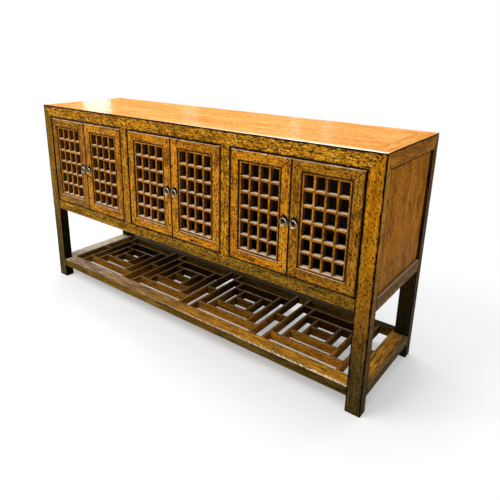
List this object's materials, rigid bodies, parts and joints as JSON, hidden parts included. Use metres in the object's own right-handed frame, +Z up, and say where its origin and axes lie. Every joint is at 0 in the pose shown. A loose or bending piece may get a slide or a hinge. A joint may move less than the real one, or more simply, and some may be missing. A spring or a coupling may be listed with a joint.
{
  "type": "sideboard",
  "caption": "Long lacquered sideboard on straight legs: pairs of lattice doors with ring pulls above an open slatted shelf of nested squares, flush mitred corners.",
  "frame": {"origin": "on the floor, in the middle of the case's length and depth; the pulls stand proud of the front, so the middle of the whole bounding box lies about 6 mm nearer the front", "axes": "+X to the right along the length, -Y towards the person who opens the doors, +Z up"},
  "size_m": [1.728, 0.4834, 0.9],
  "materials": {
    "lacquered_elm_frame": "worn ochre lacquer",
    "lacquered_elm_door": "worn orange lacquer",
    "lacquered_elm_top": "polished honey lacquer",
    "lacquered_elm_panel": "satin brown lacquer",
    "stained_elm_slats": "dark stain",
    "plain_elm_inside": "bare, darkened",
    "dark_brass": "dark patina",
    "white_brass": "rubbed bright"
  },
  "bodies": {
    "case": {"leg_front_left": "lacquered_elm_frame", "leg_front_right": "lacquered_elm_frame", "leg_back_left": "lacquered_elm_frame", "leg_back_right": "lacquered_elm_frame", "top_rail_front": "lacquered_elm_frame", "top_rail_back": "lacquered_elm_frame", "top_rail_left": "lacquered_elm_frame", "top_rail_right": "lacquered_elm_frame", "top_board": "lacquered_elm_top", "top_battens": "plain_elm_inside", "bottom_rail_front": "lacquered_elm_frame", "bottom_rail_back": "lacquered_elm_frame", "bottom_rail_left": "lacquered_elm_frame", "bottom_rail_right": "lacquered_elm_frame", "door_post_left": "lacquered_elm_frame", "door_post_right": "lacquered_elm_frame", "back_post_left": "plain_elm_inside", "back_post_right": "plain_elm_inside", "side_panel_left": "lacquered_elm_panel", "side_panel_right": "lacquered_elm_panel", "back_panel_left": "plain_elm_inside", "back_panel_middle": "plain_elm_inside", "back_panel_right": "plain_elm_inside", "floor_boards": "plain_elm_inside", "floor_bearers": "plain_elm_inside", "door_stops": "plain_elm_inside", "shelf_rail_front": "lacquered_elm_frame", "shelf_rail_back": "lacquered_elm_frame", "shelf_rail_left": "lacquered_elm_frame", "shelf_rail_right": "lacquered_elm_frame", "shelf_square_1": "stained_elm_slats", "shelf_square_2": "stained_elm_slats", "shelf_square_3": "stained_elm_slats", "shelf_square_4": "stained_elm_slats", "shelf_links": "stained_elm_slats"},
    "door_1": {"door_1_frame": "lacquered_elm_door", "door_1_lattice": "lacquered_elm_door", "door_1_pull": "dark_brass"},
    "door_2": {"door_2_frame": "lacquered_elm_door", "door_2_lattice": "lacquered_elm_door", "door_2_pull": "dark_brass"},
    "door_3": {"door_3_frame": "lacquered_elm_door", "door_3_lattice": "lacquered_elm_door", "door_3_pull": "dark_brass"},
    "door_4": {"door_4_frame": "lacquered_elm_door", "door_4_lattice": "lacquered_elm_door", "door_4_pull": "dark_brass"},
    "door_5": {"door_5_frame": "lacquered_elm_door", "door_5_lattice": "lacquered_elm_door", "door_5_pull": "dark_brass"},
    "door_6": {"door_6_frame": "lacquered_elm_door", "door_6_lattice": "lacquered_elm_door", "door_6_pull": "dark_brass"},
    "ring_1": {"ring_1": "white_brass"},
    "ring_2": {"ring_2": "white_brass"},
    "ring_3": {"ring_3": "white_brass"},
    "ring_4": {"ring_4": "white_brass"},
    "ring_5": {"ring_5": "white_brass"},
    "ring_6": {"ring_6": "white_brass"}
  },
  "joints": [
    {"name": "door_1_hinge", "type": "hinge", "parent": "case", "child": "door_1", "pos_m": [-0.798, -0.229, 0.6365], "axis": [0, 0, -1], "range_deg": [0, 90]},
    {"name": "door_2_hinge", "type": "hinge", "parent": "case", "child": "door_2", "pos_m": [-0.308, -0.229, 0.6365], "axis": [0, 0, 1], "range_deg": [0, 90]},
    {"name": "door_3_hinge", "type": "hinge", "parent": "case", "child": "door_3", "pos_m": [-0.245, -0.229, 0.6365], "axis": [0, 0, -1], "range_deg": [0, 90]},
    {"name": "door_4_hinge", "type": "hinge", "parent": "case", "child": "door_4", "pos_m": [0.245, -0.229, 0.6365], "axis": [0, 0, 1], "range_deg": [0, 90]},
    {"name": "door_5_hinge", "type": "hinge", "parent": "case", "child": "door_5", "pos_m": [0.308, -0.229, 0.6365], "axis": [0, 0, -1], "range_deg": [0, 90]},
    {"name": "door_6_hinge", "type": "hinge", "parent": "case", "child": "door_6", "pos_m": [0.798, -0.229, 0.6365], "axis": [0, 0, 1], "range_deg": [0, 90]},
    {"name": "ring_1_swing", "type": "hinge", "parent": "door_1", "child": "ring_1", "pos_m": [-0.573, -0.2428, 0.636], "axis": [-1, 0, 0], "range_deg": [0, 165]},
    {"name": "ring_2_swing", "type": "hinge", "parent": "door_2", "child": "ring_2", "pos_m": [-0.533, -0.2428, 0.636], "axis": [-1, 0, 0], "range_deg": [0, 165]},
    {"name": "ring_3_swing", "type": "hinge", "parent": "door_3", "child": "ring_3", "pos_m": [-0.02, -0.2428, 0.636], "axis": [-1, 0, 0], "range_deg": [0, 165]},
    {"name": "ring_4_swing", "type": "hinge", "parent": "door_4", "child": "ring_4", "pos_m": [0.02, -0.2428, 0.636], "axis": [-1, 0, 0], "range_deg": [0, 165]},
    {"name": "ring_5_swing", "type": "hinge", "parent": "door_5", "child": "ring_5", "pos_m": [0.533, -0.2428, 0.636], "axis": [-1, 0, 0], "range_deg": [0, 165]},
    {"name": "ring_6_swing", "type": "hinge", "parent": "door_6", "child": "ring_6", "pos_m": [0.573, -0.2428, 0.636], "axis": [-1, 0, 0], "range_deg": [0, 165]}
  ]
}
